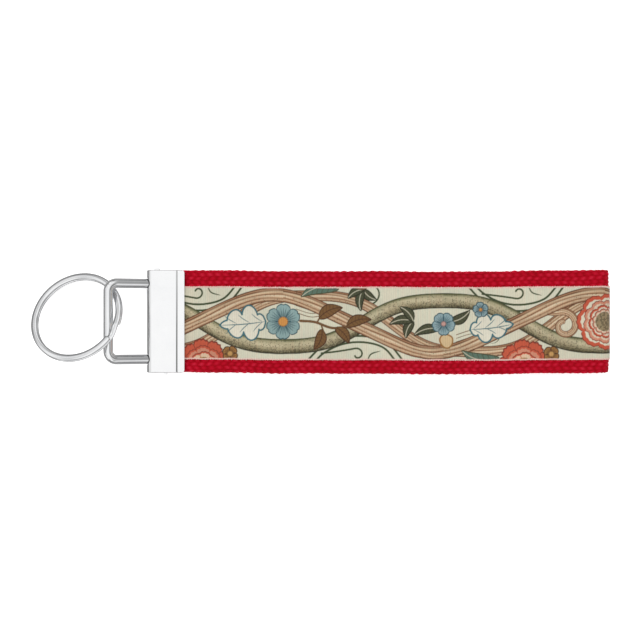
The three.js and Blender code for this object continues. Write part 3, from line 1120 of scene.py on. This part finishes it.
    def lobed_leaf(self, base, tip, width, lobes, edge):
        """A leaf in outline with rounded lobes, and a vein to each lobe."""
        base, tip = np.array(base, float), np.array(tip, float)
        axis = tip - base
        across = np.array([-axis[1], axis[0]]) / np.linalg.norm(axis)
        t = np.linspace(0, 1, 46)
        half = width / 2 * np.sin(math.pi * t**0.72) ** 0.7
        half = half * (0.80 + 0.26 * np.cos(TURN * lobes * t))
        drawn = t + 0.05 * np.sin(TURN * lobes * t)
        upper = base + drawn[:, None] * axis + half[:, None] * across
        lower = base + drawn[:, None] * axis - half[:, None] * across
        self.shape(np.concatenate([upper, lower[::-1], upper[:1]]), PALE_LEAF, edge, 0.5)
        for i in range(1, lobes + 1):
            root = base + axis * (i - 0.75) / (lobes + 0.6)
            for side in (1, -1):
                end = base + axis * i / (lobes + 0.4) + side * across * width * 0.27
                self.stroke(curve([root, (root + end) / 2 + axis * 0.02, end]), 0.24, edge, taper=True)
        self.stroke(curve([base, (base + tip) / 2 + across * 0.3, tip]), 0.3, edge, taper=True)


def spiral(centre, outer, inner, start, end):
    """A curl from an outer to an inner radius, between two angles in degrees."""
    t = np.linspace(0, 1, 30)
    angle = np.radians(start + (end - start) * t)
    radius = (outer + (inner - outer) * t**0.8)[:, None]
    return np.array(centre) + radius * np.stack([np.cos(angle), np.sin(angle)], 1)


def vine(height, shift, kink):
    """The wave of a long stem over one span and some way past both its ends."""
    u = np.linspace(-10, SPAN + 10, 48)
    phase = math.pi * (u - shift) / SPAN
    return np.stack([u, height * np.cos(phase) + kink * np.cos(3 * phase)], 1)


def draw_scrolls(cloth):
    """Pale curling stems that lie behind everything else."""
    cloth.pale_stem(curve([(8, 12.6), (12, 8.6), (18, 5.6), (25, 4.9), (32, 6.9), (37, 12.6)]), 1.9)
    hook = [curve([(12, 9.3), (17.5, 8.6), (22.9, 7.7)])[:-1], spiral((23.2, 9.6), 1.9, 0.9, -100, 150)]
    cloth.stroke(np.concatenate(hook), 0.55, DARK_GREEN)
    cloth.stroke(curve([(26.2, 12), (27.4, 9.6), (30.4, 8.6)]), 0.42, DARK_GREEN, taper=True)
    cloth.stroke(spiral((27, -9.6), 4.6, 1.2, 160, -230), 0.5, DARK_GREEN)
    cloth.stroke(spiral((15.5, -3.6), 2.6, 0.5, 250, 620), 0.34, DARK_GREEN, taper=True)
    cloth.stroke(spiral((60.5, 7.2), 3.0, 0.8, 190, 520), 0.3, UMBER, taper=True)
    for i, width in enumerate((0.24, 0.2, 0.2)):
        rise = 1.1 * i
        cloth.stroke(curve([(4, -3.4 - rise), (9, -2.0 - rise), (14, -3.0 - rise)]), width, UMBER)


def draw_vines(cloth):
    """The long stems: a speckled one, with one striped one under it and another over it."""
    whole = (0, SPAN)
    cloth.stem(vine(-9.6, 9, 0.9), 3.4, PEACH_BANDS, 0.04, span=whole)
    cloth.stem(vine(7.8, 0, -0.6), 4.7, BARK_BANDS, 0.42, span=whole)
    if cloth.kind == 0:
        draw_volute(cloth, (37.4, -0.8))
    cloth.stem(vine(-8.6, -3, -0.4), 4.3, PEACH_BANDS, 0.05, span=whole)


def draw_volute(cloth, centre):
    """A striped stem that curls up on itself."""
    lead = curve([(28, 2.8), (31.6, 3.7), (34.9, 3.4)])[:-1]
    line = np.concatenate([lead, spiral(centre, 4.8, 1.4, 116, -250)])
    cloth.stem(line, 2.9, PEACH_BANDS, 0.05, 1.7)


def draw_twig(cloth):
    """A brown twig with four leaves."""
    twig = curve([(55.4, 0.8), (60, 0.4), (65.4, -1.4), (71, -0.8)])
    cloth.stroke(twig, 0.8, UMBER)
    cloth.stroke(curve([(60.6, 0.2), (61.6, 2.2)]), 0.5, UMBER)
    cloth.stroke(curve([(61.8, -0.2), (62.6, -2.4)]), 0.5, UMBER)
    for base, tip, width in (
        ((61.2, 1.6), (68.6, 5.0), 3.8),
        ((62.2, -1.8), (59.6, -8.2), 3.4),
        ((66.4, -1.2), (70.6, -6.2), 3.2),
        ((69.8, -0.8), (77.6, 1.2), 3.4),
    ):
        cloth.leaf(base, tip, width, LEAF_BROWN, OUTLINE, OUTLINE)


def draw_sprig(cloth, root, reach, turn):
    """Three dark leaves from one root."""
    for angle, share in ((turn - 58, 0.86), (turn, 1.1), (turn + 54, 0.9)):
        a = math.radians(angle)
        tip = (root[0] + reach * share * math.cos(a), root[1] + reach * share * math.sin(a))
        cloth.leaf(root, tip, reach * 0.42, LEAF_DARK, LEAF_EDGE, PALE_RIB)


def draw_sprays(cloth):
    """What grows beside each bloom and in the corners between the stems."""
    if cloth.kind == 0:
        draw_sprig(cloth, (57.4, 1.4), 7.2, 4)
    elif cloth.kind == 1:
        cloth.lobed_leaf((44.6, 0.6), (30.2, -0.8), 10.4, 3, TEAL)
        draw_twig(cloth)
    else:
        draw_sprig(cloth, (40.6, -0.8), 6.8, 172)
        cloth.lobed_leaf((58.2, 1.8), (71.6, 0.2), 8.6, 3, TEAL)
    if cloth.flip < 0:
        draw_sprig(cloth, (25, -10.6), 6.2, 96)
        cloth.stroke(curve([(21.4, -12.4), (24.2, -10.8), (28.6, -12.2)]), 0.7, UMBER)
    else:
        cloth.rosette((25, -13.2), 8.2, CORAL_RINGS, 0.02, 2.6, linear(170, 128, 74), 0.3)
        cloth.flower((33.4, -9.6), 2.5, 4, OCHRE, OUTLINE, linear(196, 152, 92), 0.8, 0.9)
    cloth.leaf((17.4, -10.9), (5.6, -8.3), 4.2, TEAL_PATCH, LEAF_DARK, PALE_RIB, 0.14)


def draw_blooms(cloth):
    """One flower in each eye of the pattern: blue, small blue, and a pale rosette by turns."""
    if cloth.kind == 1:
        cloth.flower((50, 0.6), 5.5, 6, BLUE, BLUE_DARK, ORANGE, 1.45, 0.5)
    elif cloth.kind == 2:
        cloth.leaf((48.6, 1.6), (40.8, 3.6), 3.0, LEAF_DARK, LEAF_EDGE, PALE_RIB)
        cloth.leaf((51.8, -0.6), (58.2, -4.2), 3.1, LEAF_DARK, LEAF_EDGE, PALE_RIB)
        cloth.shape(BUD, linear(216, 186, 142), OCHRE, 0.45)
        cloth.flower((50, 0), 3.6, 5, SKY_BLUE, BLUE_DARK, linear(196, 150, 140), 0.7, 0.3)
        cloth.flower((61.5, -4.4), 2.4, 5, SKY_BLUE, BLUE_DARK, ORANGE, 0.5, 0.8)
    else:
        cloth.rosette((50, 0.4), 8.4, PALE_RINGS, 0.012, 3.0, linear(150, 132, 100), 0.4)


def printed_colours(u, v):
    """The print's colour, with painted rib shade over it, at places along (u) and across (v) the ribbon.
    """
    cloth = Print(np.stack([u, v], 1), np.tile(CREAM, (len(u), 1)))
    first = math.floor((u.min() - FIRST_BLOOM) / SPAN) - 1
    last = math.ceil((u.max() - FIRST_BLOOM) / SPAN) + 2
    for draw in (draw_scrolls, draw_vines, draw_sprays, draw_blooms):
        for number in range(first, last + 1):
            draw(cloth.seen_from(number))
    return worn_with_rib_shade(cloth)


def worn_with_rib_shade(cloth):
    """Painted rib shade (lighter on the cross ribs' crests, darker between them), thread colours and
    uneven ink over the whole print, and its unprinted edges.
    """
    u, v = cloth.points.T
    edge = smoothstep(SELVAGE_FROM, SELVAGE_FROM + 0.16, np.abs(v))[:, None]
    print_or_edge = cloth.rgb + (np.array(SELVAGE) - cloth.rgb) * edge
    rib = 0.5 + 0.5 * np.cos(TURN * u / RIB_PITCH)
    thread = speckle(np.stack([u, 0 * v], 1), RIB_PITCH, 5)[:, None] - 0.5
    tint = np.array([-0.05, 0.02, 0.03]) * thread
    # Painted shade: the colour is lighter on the crests of the cross ribs and darker between them, and a
    # slow wave adds uneven ink.
    shade = 0.93 + 0.09 * rib + 0.04 * np.sin(u / 6.0 + v / 3.0)
    grain = 0.97 + 0.06 * speckle(cloth.points, 0.22, 2)
    return np.clip(print_or_edge * (shade * grain)[:, None] * (1 + tint), 0, 1)


# ---------------------------------------------------------------- ribbon

RIB_PITCH = 0.7
RIB_RELIEF = 0.022
RIBBON_STEP = 0.15
RIBBON_EDGE = 0.12
RIBBON_WANDER = 0.6
EDGE_ROUND = ((0.03, 0.85), (0.0, 0.5), (0.03, 0.15))


def ribbon_section(step):
    """The loop round the ribbon: y, share of the thickness."""
    low, high = RIBBON_LOW + RIBBON_EDGE, RIBBON_HIGH - RIBBON_EDGE
    parts = [(y, 1.0) for y in np.linspace(low, high, int((RIBBON_HIGH - RIBBON_LOW) / step))]
    parts += [(RIBBON_HIGH - inset, share) for inset, share in EDGE_ROUND]
    parts += [(y, 0.0) for y in np.linspace(high, low, 7)]
    parts += [(RIBBON_LOW + inset, share) for inset, share in EDGE_ROUND[::-1]]
    return np.array(parts).T


def ribbon_rings(stretch, section):
    y, share = section
    along = along_steps(stretch, RIBBON_STEP)[:, None]
    inner, outer = layer_heights("ribbon", along)
    ribs = RIB_RELIEF * np.cos(TURN * (along - MOUTH) / RIB_PITCH) * (share > 0.99)
    pucker = 0.05 * np.cos(TURN * along / 5.9) * smoothstep(8.5, 11.5, np.abs(y))
    height = inner + (outer - inner) * share + ribs - np.abs(pucker) * 0.6
    sideways = y + RIBBON_WANDER * wander(along) + pucker * np.sign(y)
    grid = along + 0 * y
    rings = placed(grid, height, sideways)
    if stretch in ("back_middle", "back_near"):
        grid, rings = with_tongue(stretch, grid, rings)
    return grid, rings


def with_tongue(stretch, grid, rings):
    """Carries the ribbon round the knuckle at the open pivot, under the next stretch."""
    centre = np.array([OPEN_FLEX, 0, MID - HINGE])
    ahead = stretch == "back_middle"
    last = rings[-1] if ahead else rings[0]
    turns = np.linspace(0, HIDDEN_TURN, 9)[1:]
    extra = []
    for turn in turns:
        swing = Matrix.Rotation(turn if ahead else -turn, 3, "Y")
        extra.append((last - centre) @ np.array(swing).T + centre)
    extra = np.array(extra)
    runs = HINGE * turns[:, None] + 0 * grid[:1]
    if ahead:
        return np.concatenate([grid, grid[-1:] + runs]), np.concatenate([rings, extra])
    return np.concatenate([grid[:1] - runs[::-1], grid]), np.concatenate([extra[::-1], rings])


def make_ribbon(stretch):
    step = RIBBON_STEP if RUN[stretch][0] < FOLD_CENTRE else 2 * RIBBON_STEP
    section = ribbon_section(step)
    grid, rings = ribbon_rings(stretch, section)
    y, share = section
    across = y + 0 * grid
    # The print colours carry painted rib shade: lighter on the rib crests and darker between them.
    colours = printed_colours((grid - MOUTH).ravel(), (across - RIBBON_MIDDLE).ravel())
    colours[np.broadcast_to(share < 0.5, grid.shape).ravel()] = CREAM * 0.9
    rgba = np.concatenate([colours, np.ones((len(colours), 1))], 1).reshape(*grid.shape, 4)
    coordinates = np.stack([grid, across, share + 0 * grid], 2)
    piece = strap_piece(f"ribbon_{stretch}", rings, RIBBON, coordinates, print=rgba)
    declare(piece, stretch, "ribbon")


# ---------------------------------------------------------------- sewing

STITCH_PITCH = 0.75
STITCH_LONG = 0.56
STITCH_WIDE = 0.38
STITCH_HIGH = 0.34
STITCH_SINK = 0.13
STITCH_FROM_EDGE = 0.18
STITCH_MARGIN = 0.3
SEWN_ROWS = {"upper": RIBBON_HIGH - STITCH_FROM_EDGE, "lower": RIBBON_LOW + STITCH_FROM_EDGE}


def stitch_bead():
    """One bead of thread: rings of a long rounded shape, along, across and up."""
    lengths = np.linspace(-1, 1, 7)
    turns = np.linspace(0, TURN, 8, endpoint=False)
    girth = np.sqrt(np.clip(1 - (0.97 * lengths) ** 2, 0, 1))
    along = girth[:, None] * np.cos(turns) * STITCH_WIDE / 2
    up = girth[:, None] * np.sin(turns) * STITCH_HIGH / 2
    across = lengths[:, None] * STITCH_LONG / 2 + 0 * along
    return np.stack([along, across, up], 2)


def make_sewing(row, stretch):
    """A row of small stitches over one edge of the ribbon."""
    start, end = RUN[stretch]
    first = math.ceil((start + STITCH_MARGIN) / STITCH_PITCH)
    last = math.floor((end - STITCH_MARGIN) / STITCH_PITCH)
    bead = stitch_bead()
    side = 1 if row == "upper" else -1
    work = bmesh.new()
    coordinates = []
    for i in range(first, last + 1):
        middle = i * STITCH_PITCH + 0.07 * math.sin(i * 5.1)
        slant = 0.22 * math.sin(i * 2.3) + 0.18
        along = middle + bead[..., 0] + slant * bead[..., 1]
        y = SEWN_ROWS[row] + bead[..., 1] + 0.05 * math.sin(i * 3.3) + RIBBON_WANDER * wander(middle)
        _, outer = layer_heights("ribbon", np.array(middle))
        height = float(outer) - STITCH_SINK - 0.25 * side * bead[..., 1] + bead[..., 2]
        add_rings(work, placed(along, height, y))
        coordinates += np.stack([along, y, height], 2).reshape(-1, 3).tolist()
    name = f"sewing_{row}_{stretch}"
    mesh = mesh_of(name, work)
    mesh.shade_smooth()
    point_attribute(mesh, "strap", "FLOAT_VECTOR", np.array(coordinates))
    face_outwards(mesh)
    mesh.materials.append(THREAD)
    piece = link(name, mesh)
    join_body(piece, stretch)
    if stretch in NODES:
        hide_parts(f"thread_{row}_{NODES[stretch]}")


def add_rings(work, rings):
    """Adds a small closed bead to a mesh under way."""
    verts = [[work.verts.new(Vector(p) * MM) for p in ring] for ring in rings]
    around = len(verts[0])
    for a, b in zip(verts[:-1], verts[1:]):
        for i in range(around):
            j = (i + 1) % around
            work.faces.new([a[i], a[j], b[j], b[i]])
    work.faces.new(verts[0][::-1])
    work.faces.new(verts[-1])


# ---------------------------------------------------------------- stage, light and camera

CAMERA_DISTANCE = 380.0
CAMERA_AIM = (49.1, -0.2, 4.0)
CAMERA_TILT = 1.5
PICTURE_WIDTH = 202.0
SENSOR = 36.0
FLOOR_HALF = 2.5
FLOOR_GLOW = 0.62
FLOOR_MIRRORED = (0.22, 0.22, 0.22, 1)
LOW_SKY = shades((0.0, 0.05), (0.13, 0.10), (0.26, 0.62), (0.55, 0.98), (1.0, 0.99))
SHADED_SKY = shades(
    (0.0, 0.10), (0.24, 0.60), (0.40, 0.84), (0.50, 0.09), (0.64, 0.10), (0.76, 0.95), (1.0, 0.99)
)
WHITE = (1, 1, 1, 1)


def make_floor():
    """A lit white table. Polished metal sees it darker, as with black cards round a set."""
    mesh = bpy.data.meshes.new("floor")
    corners = [(a * FLOOR_HALF, b * FLOOR_HALF, 0) for a, b in ((-1, -1), (1, -1), (1, 1), (-1, 1))]
    mesh.from_pydata(corners, [], [(0, 1, 2, 3)])
    floor = link("floor", mesh)
    look = Look("white_table", Roughness=0.9, Specular_IOR_Level=0.1)
    grain = look.noise(look.place(), 40.0, 2.0)
    look.feed(look.shader.inputs["Base Color"], look.ramp(grain, shades((0.3, 0.86), (0.7, 0.9))))
    look.shader.inputs["Emission Color"].default_value = WHITE
    look.shader.inputs["Emission Strength"].default_value = FLOOR_GLOW
    dark = look.node("ShaderNodeBsdfDiffuse", Color=FLOOR_MIRRORED).outputs["BSDF"]
    glossy = look.node("ShaderNodeLightPath").outputs["Is Glossy Ray"]
    share = look.math("MULTIPLY", glossy, 0.85)
    mix = look.node("ShaderNodeMixShader", Fac=share, i1=look.shader.outputs["BSDF"], i2=dark)
    out = next(n for n in look.tree.nodes if n.type == "OUTPUT_MATERIAL")
    look.feed(out.inputs["Surface"], mix.outputs[0])
    mesh.materials.append(look.material)


def make_sky():
    """A white studio: bright and even overhead, uneven and darker low down and towards +X."""
    world = bpy.data.worlds.new("studio")
    bpy.context.scene.world = world
    world.use_nodes = True
    sky = Nodes(world.node_tree)
    direction = sky.node("ShaderNodeTexCoord").outputs["Generated"]
    parts = sky.node("ShaderNodeSeparateXYZ", Vector=direction)
    up = parts.outputs["Z"]
    towards = sky.span(parts.outputs["X"], 0.64, 0.82, 0.0, 1.0)
    light = sky.mixed(towards, sky.ramp(up, LOW_SKY), sky.ramp(up, SHADED_SKY))
    cards = sky.span(sky.noise(direction, 2.3, 1.0), 0.38, 0.62, 0.42, 1.1)
    overhead = sky.span(up, 0.72, 0.94, 0.0, 1.0)
    level = sky.node("ShaderNodeMix", {"data_type": "FLOAT"}, Factor=overhead, i2=cards, i3=1.0)
    dimmed = sky.scaled(light, level.outputs[0])
    seen = sky.node("ShaderNodeLightPath").outputs["Is Camera Ray"]
    sky.feed(sky.tree.nodes["Background"].inputs["Color"], sky.mixed(seen, dimmed, WHITE))


def make_light():
    """One broad soft key light from the upper left. Polished metal doesn't mirror it."""
    data = bpy.data.lights.new("key", "SUN")
    data.energy = 0.75
    data.angle = math.radians(34)
    key = bpy.data.objects.new("key", data)
    key.rotation_euler = Vector((-0.35, 0.5, 1.0)).to_track_quat("Z", "Y").to_euler()
    key.visible_glossy = False
    bpy.context.scene.collection.objects.link(key)


def make_camera():
    data = bpy.data.cameras.new("camera")
    data.sensor_width = SENSOR
    data.lens = SENSOR * CAMERA_DISTANCE / PICTURE_WIDTH
    camera = bpy.data.objects.new("camera", data)
    tilt = math.radians(CAMERA_TILT)
    aim = Vector(CAMERA_AIM) * MM
    camera.location = aim + Vector((math.sin(tilt), 0, math.cos(tilt))) * CAMERA_DISTANCE * MM
    camera.rotation_euler = (0, tilt, 0)
    bpy.context.scene.collection.objects.link(camera)
    bpy.context.scene.camera = camera
    bpy.context.scene.view_settings.view_transform = "Standard"


make_camera()
make_sky()
make_light()
make_floor()
make_clamp()
make_bail()
make_ring()
for stretch in RUN:
    make_webbing(stretch)
    make_ribbon(stretch)
    for row in SEWN_ROWS:
        make_sewing(row, stretch)
